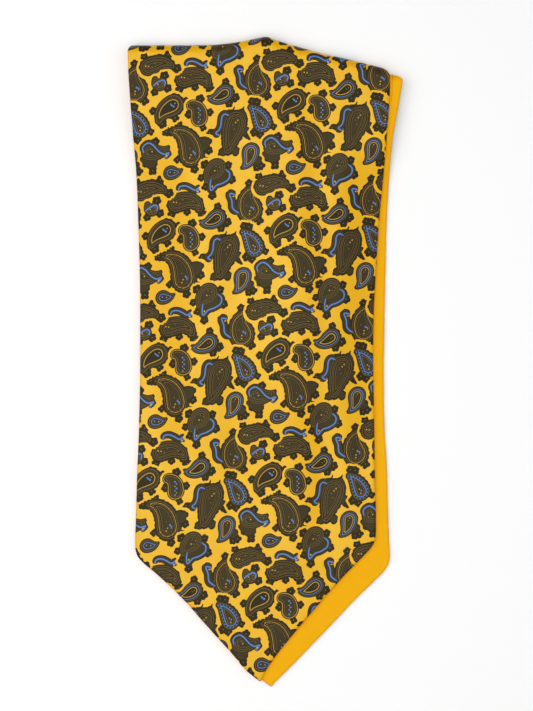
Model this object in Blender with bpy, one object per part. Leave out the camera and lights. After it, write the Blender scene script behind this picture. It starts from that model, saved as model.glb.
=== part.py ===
"""Day cravat of printed silk, lying flat: folded in half at the neck, the pleated neckband turned under.

World: metres, +Z up. The points of the blades look towards -Y and the printed front lies up.
"""

import bpy
import bmesh
import numpy as np

MM = 0.001

# Middle of the footprint in the coordinates of the tables below, which are in millimetres
FOOTPRINT_MIDDLE = (-0.13, -0.21, 0.0)

# Cloth
PLY = 1.0  # thickness of one ply
GAP = 0.3  # air between two plies
STEP = PLY + GAP
BULLNOSE = 0.35  # inset of the rounded edge of a ply
EDGE_ZONE = 9.0  # width beside each edge that has its own columns
ACROSS = 12  # columns between the edge zones

# Top fold
TURN_RADIUS = 5.1  # outer radius of the outermost ply
TURN_STEPS = 6
PEAK = 206.5  # highest point of the fold line
TURN_ROW = PEAK - TURN_RADIUS  # row where the plies start to turn
NECK_ROW = 189.0  # row where the folded neckband starts
BEND_ROW = 50.0  # row from which the rows start to follow the fold line

# Rest of the blades on the neckband
PLATEAU = 2 * TURN_RADIUS - 3 * STEP - PLY
PLATEAU_MARGIN = 4.5
FALL = 45.0  # width over which the blades come down to the floor beside the neckband
FALL_BELOW = 105.0  # and below its loop end

# Folded neckband
NECK_THICK = 3 * STEP + PLY
NECK_END = 20.0  # row of the loop end
NECK_GROOVE = 1.2  # depth of the grooves between its layers

# Outline of the front blade, tip first
FRONT_COLUMNS = ("row", "left", "right")
FRONT_ROWS = (
    (-202.7, -4.1, -2.9),
    (-201.9, -5.1, -2.5),
    (-199.6, -8.0, -1.6),
    (-195.5, -12.9, 0.6),
    (-187.0, -19.9, 6.4),
    (-176.7, -29.2, 14.6),
    (-165.3, -39.4, 24.0),
    (-150.0, -53.1, 37.2),
    (-134.0, -70.0, 51.6),
    (-128.0, -77.2, 57.6),
    (-123.0, -81.5, 62.5),
    (-118.0, -82.8, 67.0),
    (-112.5, -82.9, 69.8),
    (-104.0, -82.6, 70.2),
    (-70.0, -81.6, 69.5),
    (-40.0, -80.4, 69.1),
    (5.0, -79.7, 68.4),
    (33.0, -79.7, 68.8),
    (53.0, -79.9, 69.9),
    (92.0, -81.0, 72.4),
    (116.0, -81.9, 74.7),
    (144.0, -84.1, 76.8),
    (172.0, -86.1, 78.7),
    (191.0, -87.2, 78.9),
    (206.5, -87.4, 78.9),
)
FRONT_CORNER = {"left": 1.8, "right": 4.2}  # radius at the fold

# Outline of the rear blade
REAR_COLUMNS = ("row", "left", "right")
REAR_ROWS = (
    (-206.5, 3.0, 4.1),
    (-205.6, 1.9, 4.6),
    (-203.0, -1.8, 7.0),
    (-199.0, -6.9, 11.0),
    (-190.0, -15.6, 20.0),
    (-179.0, -25.2, 30.6),
    (-168.0, -35.2, 41.2),
    (-153.0, -47.2, 55.4),
    (-140.0, -60.0, 68.6),
    (-133.5, -67.3, 75.2),
    (-129.0, -72.0, 78.0),
    (-124.0, -74.3, 79.2),
    (-116.0, -74.9, 78.8),
    (-104.0, -75.0, 78.2),
    (-70.0, -74.2, 77.3),
    (-40.0, -73.0, 75.7),
    (-10.0, -72.3, 75.2),
    (33.0, -72.2, 75.8),
    (53.0, -72.3, 76.2),
    (92.0, -73.4, 77.2),
    (116.0, -74.4, 78.6),
    (144.0, -76.4, 81.0),
    (155.0, -77.4, 83.0),
    (169.0, -78.6, 85.4),
    (180.0, -79.2, 87.1),
    (206.5, -79.4, 87.3),
)
REAR_CORNER = {"left": 1.8, "right": 2.4}

# Line of the top fold, as seen from above
FOLD_COLUMNS = ("x", "y")
FOLD_LINE = (
    (-90.0, 201.0),
    (-60.0, 201.1),
    (-36.0, 201.2),
    (-26.0, 202.0),
    (-15.0, 203.6),
    (-6.0, 205.4),
    (0.5, PEAK),
    (6.0, 204.6),
    (14.3, 202.0),
    (34.6, 196.3),
    (54.9, 191.6),
    (78.0, 185.8),
    (92.0, 182.2),
)

# Straight line on the underside where the plies run on into the neckband
SEAM_COLUMNS = ("x", "y")
SEAM_LINE = ((-88.0, 183.0), (88.0, 166.6))

# Outline of the folded neckband, loop end first, and the shift of its upper two layers
NECK_COLUMNS = ("row", "left", "right", "shift")
NECK_ROWS = (
    (NECK_END, -34.0, 25.6, 0.0),
    (60.0, -34.0, 25.6, 0.4),
    (90.0, -34.8, 26.3, 0.8),
    (110.0, -37.4, 28.6, 1.4),
    (126.0, -43.0, 34.0, 2.4),
    (142.0, -53.0, 43.8, 4.0),
    (158.0, -66.0, 57.0, 5.6),
    (174.0, -79.0, 70.4, 7.0),
    (NECK_ROW, -85.4, 74.6, 7.8),
)

# Soft lengthwise ridges of the front blade
RIDGE_COLUMNS = ("x", "half_width", "height", "from_row", "to_row")
RIDGES = (
    (-46.0, 26.0, 0.8, -150.0, 192.0),
    (14.0, 27.0, 1.0, -160.0, 190.0),
    (50.0, 16.0, 0.45, -118.0, 120.0),
)

# Rows where the sections of the blades lie, after the point
BODY_ROWS = (-88, -66, -46, -30, -18, -6, 6, 18, 30, 44, 58, 72, 86, 98, 110, 122, 134, 146, 158, 170, 182, NECK_ROW, 196)

MATERIALS = (
    ("printed_silk", (0.36, 0.23, 0.05), 0.42),
    ("plain_silk", (0.80, 0.40, 0.03), 0.38),
)

PLIES = (
    ("front_face", "front", 3, "printed_silk"),
    ("front_backing", "front", 2, "plain_silk"),
    ("rear_backing", "rear", 1, "plain_silk"),
    ("rear_face", "rear", 0, "printed_silk"),
)


def smooth(t):
    t = np.clip(t, 0.0, 1.0)
    return t * t * (3 - 2 * t)


def curve(rows, column, at):
    """Smooth curve through one column of a table, with no overshoot between its rows."""
    table = np.array(rows, float)
    knots, values = table[:, 0], table[:, column]
    at = np.clip(np.asarray(at, float), knots[0], knots[-1])
    span = np.diff(knots)
    rise = np.diff(values) / span
    slope = np.concatenate(([rise[0]], np.zeros(len(span) - 1), [rise[-1]]))
    for i in range(1, len(span)):
        if rise[i - 1] * rise[i] > 0:
            a, b = 2 * span[i] + span[i - 1], span[i] + 2 * span[i - 1]
            slope[i] = (a + b) / (a / rise[i - 1] + b / rise[i])
    i = np.clip(np.searchsorted(knots, at, side="right") - 1, 0, len(span) - 1)
    t = (at - knots[i]) / span[i]
    return (
        (1 + 2 * t) * (1 - t) ** 2 * values[i]
        + t * (1 - t) ** 2 * span[i] * slope[i]
        + t * t * (3 - 2 * t) * values[i + 1]
        + t * t * (t - 1) * span[i] * slope[i + 1]
    )


def place(x, row):
    """World y of a row at x: the rows follow the fold line near the top."""
    follow = smooth((row - BEND_ROW) / (NECK_ROW - BEND_ROW))
    return row + (curve(FOLD_LINE, 1, x) - PEAK) * follow


def seam(x):
    (x0, y0), (x1, y1) = SEAM_LINE
    return y0 + (y1 - y0) * (x - x0) / (x1 - x0)


def edge_x(rows, column, row, side_x):
    return float(curve(rows, column, place(side_x, row)))


def edges(blade, row):
    """Left and right edge of a blade at a row."""
    rows = FRONT_ROWS if blade == "front" else REAR_ROWS
    return edge_x(rows, 1, row, rows[-1][1]), edge_x(rows, 2, row, rows[-1][2])


def lift(x, row):
    """Height by which the blades are raised over the folded neckband."""
    left = curve(NECK_ROWS, 1, row) - PLATEAU_MARGIN
    right = curve(NECK_ROWS, 2, row) + curve(NECK_ROWS, 3, row) + PLATEAU_MARGIN
    beside = np.maximum(np.maximum(left - x, x - right), 0.0)
    below = max(NECK_END - PLATEAU_MARGIN - row, 0.0)
    return PLATEAU * (1 - smooth(np.hypot(beside / FALL, below / FALL_BELOW)))


def ridge(x, row):
    """Height of the soft ridges of the front blade."""
    height = 0.0
    for middle, half_width, most, start, end in RIDGES:
        across = 1 - smooth(abs(x - middle) / half_width)
        along = smooth((row - start) / 40.0) * smooth((end - row) / 60.0)
        height += most * across * along
    return height


def columns(blade, row, turn):
    """Positions across a blade, edge to edge. The edges draw in as they go round the fold."""
    left, right = edges(blade, row)
    narrow = min(1.0, (right - left) / 24.0)
    own = np.linspace(left + EDGE_ZONE * narrow, right - EDGE_ZONE * narrow, ACROSS)
    if blade == "rear":
        # Above the point both blades share their inner columns, which keeps them parallel.
        front_left, front_right = edges("front", max(row, FRONT_ROWS[0][0]))
        shared = np.linspace(front_left + EDGE_ZONE, front_right - EDGE_ZONE, ACROSS)
        own += (np.append(shared[1:], front_right) - own) * float(smooth((row + 118.0) / 60.0))
    radii = FRONT_CORNER if blade == "front" else REAR_CORNER
    drawn_in = 1 - np.cos(min(turn, np.pi / 2))
    inset = np.array((0.0, BULLNOSE, 2.0)) * narrow
    at_left = left + radii["left"] * drawn_in + inset
    at_right = right - radii["right"] * drawn_in - inset
    return np.concatenate((at_left, own, at_right[::-1]))


def section(blade, level, row, turn=0.0, tail=False):
    """Closed section of one ply: outer face, one edge, inner face, the other edge."""
    across = columns(blade, row, turn)
    tip = FRONT_ROWS[0][0] if blade == "front" else REAR_ROWS[0][0]
    half = PLY / 2 if row > tip else PLY / 4
    outer, inner = [], []
    for i, x in enumerate(across):
        middle = lift(x, row) + level * STEP + PLY / 2
        if blade == "front":
            middle += ridge(x, row)
        y = seam(x) + GAP if tail else place(x, row)
        at_edge = i in (0, len(across) - 1)
        for face, offset in ((outer, half), (inner, -half)):
            height = middle + (0.0 if at_edge else offset)
            if turn:
                radius = height - TURN_RADIUS
                face.append((x, y + radius * np.sin(turn), TURN_RADIUS + radius * np.cos(turn)))
            else:
                face.append((x, y, height))
    return outer + inner[-2:0:-1]


def blade_rings(blade, level):
    """Sections of one ply from its tip, over the fold, to the end of its tail."""
    rows = FRONT_ROWS if blade == "front" else REAR_ROWS
    point = [row[0] for row in rows if row[0] < -100]
    rings = [section(blade, level, row) for row in point + list(BODY_ROWS)]
    for i in range(TURN_STEPS + 1):
        rings.append(section(blade, level, TURN_ROW, np.pi * i / TURN_STEPS))
    rings.append(section(blade, level, TURN_ROW, np.pi, tail=True))
    return rings


def neck_ring(row, squash):
    """Closed section of the folded neckband: flat below and above, its sides grooved between the layers."""
    left, right, shift = (float(curve(NECK_ROWS, column, row)) for column in (1, 2, 3))
    narrow = (NECK_THICK / 2) * (1 - squash)

    def side(sign):
        points = []
        for layer in range(4):
            edge = right if sign > 0 else left
            edge += (shift if layer > 1 else 0.0) - sign * narrow
            low = layer * STEP
            points.append((edge - sign * BULLNOSE, low))
            points.append((edge, low + PLY / 2))
            points.append((edge - sign * BULLNOSE, low + PLY))
            if layer < 3:
                inner = min(right, right + shift) if sign > 0 else max(left, left + shift)
                inner = edge if layer != 1 else inner - sign * narrow
                points.append((inner - sign * NECK_GROOVE, low + PLY + GAP / 2))
        return points

    bottom = [(x, 0.0) for x in np.linspace(left, right, 11)[1:-1]]
    top = [(x, NECK_THICK) for x in np.linspace(right + shift, left + shift, 11)[1:-1]]
    ring = bottom + side(1.0) + top + side(-1.0)[::-1]
    middle = NECK_THICK / 2
    follow = smooth((row - BEND_ROW) / (NECK_ROW - BEND_ROW))
    return [(x, row + (seam(x) - NECK_ROW) * follow, middle + (z - middle) * squash) for x, z in ring]


def neck_rings():
    rings = []
    for angle in (12, 35, 58, 90):
        angle = np.radians(angle)
        rings.append(neck_ring(NECK_END + (NECK_THICK / 2) * (1 - np.cos(angle)), float(np.sin(angle))))
    for row in (36, 52, 68, 82, 94, 104, 114, 124, 134, 144, 154, 164, 174, 182, NECK_ROW):
        rings.append(neck_ring(row, 1.0))
    return rings


def loft(name, rings, material, collection):
    """One closed solid through sections with the same number of points."""
    mesh = bpy.data.meshes.new(name)
    work = bmesh.new()
    loops = [[work.verts.new(np.subtract(point, FOOTPRINT_MIDDLE) * MM) for point in ring] for ring in rings]
    for low, high in zip(loops, loops[1:]):
        for i in range(len(low)):
            j = (i + 1) % len(low)
            # The same diagonal on every ply keeps the gaps between them even.
            if low[j].co.x > low[i].co.x:
                corners = ((low[i], low[j], high[j]), (low[i], high[j], high[i]))
            else:
                corners = ((low[i], low[j], high[i]), (low[j], high[j], high[i]))
            for corner in corners:
                work.faces.new(corner)
    work.faces.new(loops[0][::-1])
    work.faces.new(loops[-1])
    bmesh.ops.recalc_face_normals(work, faces=work.faces)
    work.to_mesh(mesh)
    work.free()
    for face in mesh.polygons:
        face.use_smooth = True
    mesh.materials.append(material)
    solid = bpy.data.objects.new(name, mesh)
    collection.objects.link(solid)
    return solid


def silk(name, colour, roughness):
    material = bpy.data.materials.new(name)
    material.use_nodes = True
    shader = material.node_tree.nodes["Principled BSDF"]
    shader.inputs["Base Color"].default_value = (*colour, 1.0)
    shader.inputs["Roughness"].default_value = roughness
    shader.inputs["Metallic"].default_value = 0.0
    return material


def main():
    for item in list(bpy.data.objects):
        bpy.data.objects.remove(item, do_unlink=True)
    collection = bpy.data.collections.new("silk_cravat")
    bpy.context.scene.collection.children.link(collection)
    materials = {name: silk(name, colour, roughness) for name, colour, roughness in MATERIALS}
    for name, blade, level, material in PLIES:
        loft(name, blade_rings(blade, level), materials[material], collection)
    loft("folded_neck", neck_rings(), materials["printed_silk"], collection)


main()
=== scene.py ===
"""Looks of the folded silk cravat: printed and plain silk shells on the CAD plies, light, floor and camera.

Lengths are in millimetres in the cravat's own tables and become metres when a mesh is made.
"""

import math

import bpy
import numpy as np
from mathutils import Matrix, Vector, bvhtree, geometry, kdtree


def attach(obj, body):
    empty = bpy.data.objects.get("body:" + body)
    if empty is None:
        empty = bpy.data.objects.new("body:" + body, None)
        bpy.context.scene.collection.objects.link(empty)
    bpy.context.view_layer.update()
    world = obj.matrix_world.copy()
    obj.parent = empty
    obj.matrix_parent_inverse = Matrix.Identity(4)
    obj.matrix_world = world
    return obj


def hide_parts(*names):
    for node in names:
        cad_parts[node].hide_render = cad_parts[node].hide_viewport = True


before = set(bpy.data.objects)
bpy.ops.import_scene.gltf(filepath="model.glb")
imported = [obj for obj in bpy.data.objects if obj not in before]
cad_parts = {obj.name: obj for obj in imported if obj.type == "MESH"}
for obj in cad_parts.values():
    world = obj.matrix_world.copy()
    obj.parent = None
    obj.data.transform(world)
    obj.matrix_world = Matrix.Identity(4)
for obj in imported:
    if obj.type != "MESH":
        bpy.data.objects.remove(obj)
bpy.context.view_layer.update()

MM = 0.001
FOOTPRINT_MIDDLE = np.array((-0.13, -0.21, 0.0))  # of the solids, which the frame puts at its origin

# Sizes of the plies and the fold, as in the solids
PLY = 1.0
GAP = 0.3
STEP = PLY + GAP
PAIR = STEP + PLY  # a blade's two plies with the gap between them
TURN_RADIUS = 5.1  # of the top fold, on its outside
PEAK = 206.5  # highest point of the top fold
TURN_ROW = PEAK - TURN_RADIUS  # row at which the cloth starts to turn over
NECK_ROW = 189.0  # row of the seam between a blade and the neckband, on the underside
BEND_ROW = 50.0  # rows above this one slant more and more with the fold
NECK_THICK = 3 * STEP + PLY
NECK_END = 20.0  # lowest row of the folded neckband
PLATEAU = 2 * TURN_RADIUS - NECK_THICK  # rise of the blades over the neckband
PLATEAU_MARGIN = 4.5  # width of the neckband's surroundings that are raised with it
FALL = 45.0  # width over which the blades come down beside the neckband
FALL_BELOW = 105.0  # length over which they come down below it

# Edges of the front blade from its tip up: row, left, right
FRONT_ROWS = (
    (-202.7, -4.1, -2.9),
    (-201.9, -5.1, -2.5),
    (-199.6, -8.0, -1.6),
    (-195.5, -12.9, 0.6),
    (-187.0, -19.9, 6.4),
    (-176.7, -29.2, 14.6),
    (-165.3, -39.4, 24.0),
    (-150.0, -53.1, 37.2),
    (-134.0, -70.0, 51.6),
    (-128.0, -77.2, 57.6),
    (-123.0, -81.5, 62.5),
    (-118.0, -82.8, 67.0),
    (-112.5, -82.9, 69.8),
    (-104.0, -82.6, 70.2),
    (-70.0, -81.6, 69.5),
    (-40.0, -80.4, 69.1),
    (5.0, -79.7, 68.4),
    (33.0, -79.7, 68.8),
    (53.0, -79.9, 69.9),
    (92.0, -81.0, 72.4),
    (116.0, -81.9, 74.7),
    (144.0, -84.1, 76.8),
    (172.0, -86.1, 78.7),
    (191.0, -87.2, 78.9),
    (206.5, -87.4, 78.9),
)
FRONT_CORNER = (1.8, 4.2)  # rounding at the left and right ends of the fold

# The same for the rear blade
REAR_ROWS = (
    (-206.5, 3.0, 4.1),
    (-205.6, 1.9, 4.6),
    (-203.0, -1.8, 7.0),
    (-199.0, -6.9, 11.0),
    (-190.0, -15.6, 20.0),
    (-179.0, -25.2, 30.6),
    (-168.0, -35.2, 41.2),
    (-153.0, -47.2, 55.4),
    (-140.0, -60.0, 68.6),
    (-133.5, -67.3, 75.2),
    (-129.0, -72.0, 78.0),
    (-124.0, -74.3, 79.2),
    (-116.0, -74.9, 78.8),
    (-104.0, -75.0, 78.2),
    (-70.0, -74.2, 77.3),
    (-40.0, -73.0, 75.7),
    (-10.0, -72.3, 75.2),
    (33.0, -72.2, 75.8),
    (53.0, -72.3, 76.2),
    (92.0, -73.4, 77.2),
    (116.0, -74.4, 78.6),
    (144.0, -76.4, 81.0),
    (155.0, -77.4, 83.0),
    (169.0, -78.6, 85.4),
    (180.0, -79.2, 87.1),
    (206.5, -79.4, 87.3),
)
REAR_CORNER = (1.8, 2.4)

# Line of the top fold: x, y
FOLD_LINE = (
    (-90.0, 201.0),
    (-60.0, 201.1),
    (-36.0, 201.2),
    (-26.0, 202.0),
    (-15.0, 203.6),
    (-6.0, 205.4),
    (0.5, PEAK),
    (6.0, 204.6),
    (14.3, 202.0),
    (34.6, 196.3),
    (54.9, 191.6),
    (78.0, 185.8),
    (92.0, 182.2),
)

# Ends of the seam between a blade and the neckband: x, y
SEAM_LINE = ((-88.0, 183.0), (88.0, 166.6))

# The folded neckband: row, left, right, shift of its two upper layers
NECK_ROWS = (
    (NECK_END, -34.0, 25.6, 0.0),
    (60.0, -34.0, 25.6, 0.4),
    (90.0, -34.8, 26.3, 0.8),
    (110.0, -37.4, 28.6, 1.4),
    (126.0, -43.0, 34.0, 2.4),
    (142.0, -53.0, 43.8, 4.0),
    (158.0, -66.0, 57.0, 5.6),
    (174.0, -79.0, 70.4, 7.0),
    (NECK_ROW, -85.4, 74.6, 7.8),
)

# Low ridges along the front blade: middle, half width, height, first and last row
RIDGES = (
    (-46.0, 26.0, 0.8, -150.0, 192.0),
    (14.0, 27.0, 1.0, -160.0, 190.0),
    (50.0, 16.0, 0.45, -118.0, 120.0),
)


def smooth(t):
    """Rise from 0 to 1 with no corner at its ends."""
    t = np.clip(t, 0.0, 1.0)
    return t * t * (3 - 2 * t)


def curve(rows, column, at):
    """Smooth curve through one column of a table, with no overshoot between its rows."""
    table = np.array(rows, float)
    knots, values = table[:, 0], table[:, column]
    at = np.clip(np.asarray(at, float), knots[0], knots[-1])
    span = np.diff(knots)
    rise = np.diff(values) / span
    slope = np.concatenate(([rise[0]], np.zeros(len(span) - 1), [rise[-1]]))
    for i in range(1, len(span)):
        if rise[i - 1] * rise[i] > 0:
            a, b = 2 * span[i] + span[i - 1], span[i] + 2 * span[i - 1]
            slope[i] = (a + b) / (a / rise[i - 1] + b / rise[i])
    i = np.clip(np.searchsorted(knots, at, side="right") - 1, 0, len(span) - 1)
    t = (at - knots[i]) / span[i]
    return (
        (1 + 2 * t) * (1 - t) ** 2 * values[i]
        + t * (1 - t) ** 2 * span[i] * slope[i]
        + t * t * (3 - 2 * t) * values[i + 1]
        + t * t * (t - 1) * span[i] * slope[i + 1]
    )


def slant(row):
    """How much of the fold's slant a row has, from 0 to 1."""
    return smooth((row - BEND_ROW) / (NECK_ROW - BEND_ROW))


def place(x, row):
    """World y of a row at x."""
    return row + (curve(FOLD_LINE, 1, x) - PEAK) * slant(row)


def row_of(x, y):
    """The row that passes through a point."""
    back = curve(FOLD_LINE, 1, x) - PEAK
    low, high = np.array(y, float), np.array(y, float) + 30.0
    for _ in range(24):
        middle = (low + high) / 2
        over = middle + back * slant(middle) > y
        high = np.where(over, middle, high)
        low = np.where(over, low, middle)
    return (low + high) / 2


def seam(x):
    """World y of the seam between a blade and the neckband."""
    (x0, y0), (x1, y1) = SEAM_LINE
    return y0 + (y1 - y0) * (x - x0) / (x1 - x0)


def lift(x, row):
    """Height by which the blades are raised over the folded neckband."""
    left = curve(NECK_ROWS, 1, row) - PLATEAU_MARGIN
    right = curve(NECK_ROWS, 2, row) + curve(NECK_ROWS, 3, row) + PLATEAU_MARGIN
    beside = np.maximum(np.maximum(left - x, x - right), 0.0)
    below = np.maximum(NECK_END - PLATEAU_MARGIN - row, 0.0)
    return PLATEAU * (1 - smooth(np.hypot(beside / FALL, below / FALL_BELOW)))


def ridge(x, row):
    """Height of the low ridges along the front blade."""
    height = 0.0
    for middle, half_width, most, start, end in RIDGES:
        across = 1 - smooth(np.abs(x - middle) / half_width)
        height = height + most * across * smooth((row - start) / 40.0) * smooth((end - row) / 60.0)
    return height


# The cloth plane: x, and v along the cloth over the fold


def wrap(x, v, height):
    """Point of the cloth plane in the world. height is above the floor where the cloth lies flat."""
    start = place(x, TURN_ROW)
    turn = np.clip((v - start) / TURN_RADIUS, 0.0, np.pi)
    past = np.maximum(v - start - np.pi * TURN_RADIUS, 0.0)
    radius = height - TURN_RADIUS
    y = np.minimum(v, start) + radius * np.sin(turn) - past
    z = np.where(v < start, height, TURN_RADIUS + radius * np.cos(turn))
    return np.stack((x, y, z), axis=-1)


def behind(x, y):
    """Place v in the cloth plane of world y on the underside, or the other way round."""
    return 2 * place(x, TURN_ROW) + np.pi * TURN_RADIUS - y


def cloth_row(x, v):
    """Row of a place in the cloth plane, which stays the same once the cloth turns over."""
    start = place(x, TURN_ROW)
    return np.where(v < start, row_of(x, np.minimum(v, start)), TURN_ROW)


SHOULDER = (-134.0, -108.0)  # rows between which a blade's edge turns from its point to its side


def outline(rows, corner, step=2.5):
    """Closed edge of a blade in the cloth plane, counter-clockwise from the tip up its right side."""
    tip = rows[0][0]
    low, high = SHOULDER
    point_rows = (np.arange(tip, tip + 8, 0.8), np.arange(tip + 8, low, step), np.arange(low, high, 1.2))
    sides = []
    for column, sign, radius in ((2, -1.0, corner[1]), (1, 1.0, corner[0])):
        edge = rows[-1][column]
        start = float(place(edge, TURN_ROW))
        side_rows = np.linspace(high, start, int((start - high) / step))
        points = [(float(curve(rows, column, v)), v) for v in np.concatenate(point_rows + (side_rows,))]
        for turn in np.linspace(0, np.pi, 13)[1:]:
            x = edge + sign * radius * (1 - math.cos(min(turn, np.pi / 2)))
            points.append((x, float(place(x, TURN_ROW)) + TURN_RADIUS * turn))
        x = points[-1][0]
        end = float(behind(x, seam(x)))
        steps = max(2, int((end - points[-1][1]) / step))
        points += [(x, v) for v in np.linspace(points[-1][1], end, steps + 1)[1:]]
        sides.append(points)
    right, left = sides
    across = np.linspace(right[-1][0], left[-1][0], 60)[1:-1]
    end = [(x, float(behind(x, seam(x)))) for x in across]
    return np.array(right + end + left[::-1])


def fold_lines():
    """Rows of points across the top fold, close enough for a round turn."""
    across = np.arange(-92.0, 90.0, 3.5)
    angles = np.linspace(0, np.pi, 13)
    return [np.stack((across, place(across, TURN_ROW) + TURN_RADIUS * angle), axis=1) for angle in angles]


SEAM_ZONE = 42.0  # length of cloth at a blade's end in which its seam lies


def to_edge(points, loop, open_to_seam=True):
    """Distance of each point to the edge of the blade, not counting the seam to the neckband."""
    a, b = loop, np.roll(loop, -1, axis=0)
    if open_to_seam:
        high = loop[:, 1] > loop[:, 1].max() - SEAM_ZONE
        seam_end = high & np.roll(high, -1) & (np.abs(b[:, 0] - a[:, 0]) > 2.0)
        a, b = a[~seam_end], b[~seam_end]
    found = np.empty(len(points))
    along = b - a
    length2 = np.maximum((along**2).sum(1), 1e-9)
    for i in range(0, len(points), 4000):
        p = points[i : i + 4000, None, :]
        t = np.clip(((p - a) * along).sum(2) / length2, 0.0, 1.0)
        found[i : i + 4000] = np.sqrt((((a + t[..., None] * along) - p) ** 2).sum(2)).min(1)
    return found


def inset_loops(loop, depths):
    """Closed lines inside an edge at each depth, for the points of its roll."""
    before, after = np.roll(loop, 1, axis=0), np.roll(loop, -1, axis=0)
    along = after - before
    normal = np.stack((-along[:, 1], along[:, 0]), axis=1)
    normal /= np.maximum(np.linalg.norm(normal, axis=1, keepdims=True), 1e-9)
    moved_in = [loop + normal * depth for depth in depths]
    return [np.vstack((line, line[:1])) for line in moved_in]


# The paisley print

CELL = 77.6  # side of the repeat's square cell, which is charted in twelve columns
ROWS = 12.6  # and in this many rows
LEAN = 0.07  # columns of the chart lean by this share of their depth
LATTICE = np.array(((77.5, 3.2), (5.05, 78.8))) / CELL  # the cell's sides on the cloth, right and up
CELL_ORIGIN = (-76.2, 171.6)  # top left corner of a cell on the front blade
REAR_ORIGIN = (-52.0, 140.0)  # the same on the rear blade
CHANNEL = 1.5  # least width of bare ground between two motifs

GROUND, INK, LINE, BLUE, PALE, BRONZE = range(6)  # the dyes, in the order of the printed pieces' materials


def resample(points, count):
    """Closed outline with its points evenly apart."""
    closed = np.vstack((points, points[:1]))
    at = np.concatenate(([0.0], np.cumsum(np.linalg.norm(np.diff(closed, axis=0), axis=1))))
    want = np.linspace(0, at[-1], count, endpoint=False)
    return np.stack((np.interp(want, at, closed[:, 0]), np.interp(want, at, closed[:, 1])), axis=1)


def drop(head, tail, bend, blunt, inset, count):
    """Teardrop outline: head at the origin, tail towards +x that curls by bend degrees to a blunt tip."""
    t = np.linspace(0, 1, 33)
    heading = math.radians(bend) * t**1.7
    step = tail / 32
    spine = np.stack((np.cumsum(np.cos(heading)), np.cumsum(np.sin(heading))), axis=1) * step
    spine -= spine[0]
    half = blunt + (head - blunt) * (1 - t**2) ** 1.15 - inset
    keep = half > 0.05
    if not keep.all():
        last = int(np.argmin(keep))
        spine, heading, half = spine[:last], heading[:last], half[:last]
    side = np.stack((-np.sin(heading), np.cos(heading)), axis=1)
    behind = np.linspace(np.pi / 2, 3 * np.pi / 2, 14)[1:-1]
    back = (head - inset) * np.stack((np.cos(behind), np.sin(behind)), axis=1)
    ahead = np.linspace(-np.pi / 2, np.pi / 2, 7)[1:-1] + heading[-1]
    tip = spine[-1] + half[-1] * np.stack((np.cos(ahead), np.sin(ahead)), axis=1)
    whole = np.vstack(((spine + side * half[:, None])[::-1], back, spine - side * half[:, None], tip))
    return resample(whole, count)


def scalloped(points, pitch, start=0.0, end=1.0):
    """Outline with round bumps between two shares of its length."""
    count = len(points)
    ahead = np.roll(points, -1, axis=0)
    length = np.linalg.norm(ahead - points, axis=1).sum()
    along = ahead - np.roll(points, 1, axis=0)
    normal = np.stack((along[:, 1], -along[:, 0]), axis=1)
    normal /= np.linalg.norm(normal, axis=1, keepdims=True) + 1e-9
    if np.dot(points[:, 0], ahead[:, 1]) < np.dot(points[:, 1], ahead[:, 0]):
        normal = -normal
    share = np.arange(count) / count
    bumps = max(1, round(length * (end - start) / pitch))
    phase = (share - start) / (end - start)
    bump = SCALLOP * np.abs(np.sin(np.pi * bumps * phase)) ** 0.7
    return points + normal * np.where((phase > 0) & (phase < 1), bump, 0.0)[:, None]


def disc(size, count, start=0.0):
    """Round outline at the origin."""
    angle = np.linspace(0, 2 * np.pi, count, endpoint=False) + start
    return size * np.stack((np.cos(angle), np.sin(angle)), axis=1)


def stroke(points, width, count=16, ends=0.12):
    """Ribbon along a smooth line, thinner at its ends."""
    p = np.array(points, float)
    fine = []
    for value in np.linspace(0, len(p) - 1, count):
        i = min(int(value), len(p) - 2)
        f = value - i
        a, b, c, d = p[max(i - 1, 0)], p[i], p[i + 1], p[min(i + 2, len(p) - 1)]
        square, cube = 2 * a - 5 * b + 4 * c - d, 3 * b - a - 3 * c + d
        fine.append(0.5 * (2 * b + (c - a) * f + square * f**2 + cube * f**3))
    fine = np.array(fine)
    along = np.gradient(fine, axis=0)
    normal = np.stack((-along[:, 1], along[:, 0]), axis=1)
    normal /= np.linalg.norm(normal, axis=1, keepdims=True) + 1e-9
    from_end = np.minimum(np.linspace(0, 1, count), np.linspace(1, 0, count)) / ends
    half = width / 2 * np.sqrt(np.clip(1 - (1 - np.minimum(from_end, 1)) ** 2, 0.02, 1))
    return np.vstack((fine + normal * half[:, None], (fine - normal * half[:, None])[::-1]))


def moved(points, x, y, degrees):
    """Outline turned about the origin and then moved to a place."""
    a = math.radians(degrees)
    turn = np.array(((math.cos(a), -math.sin(a)), (math.sin(a), math.cos(a))))
    return points @ turn.T + (x, y)


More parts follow.
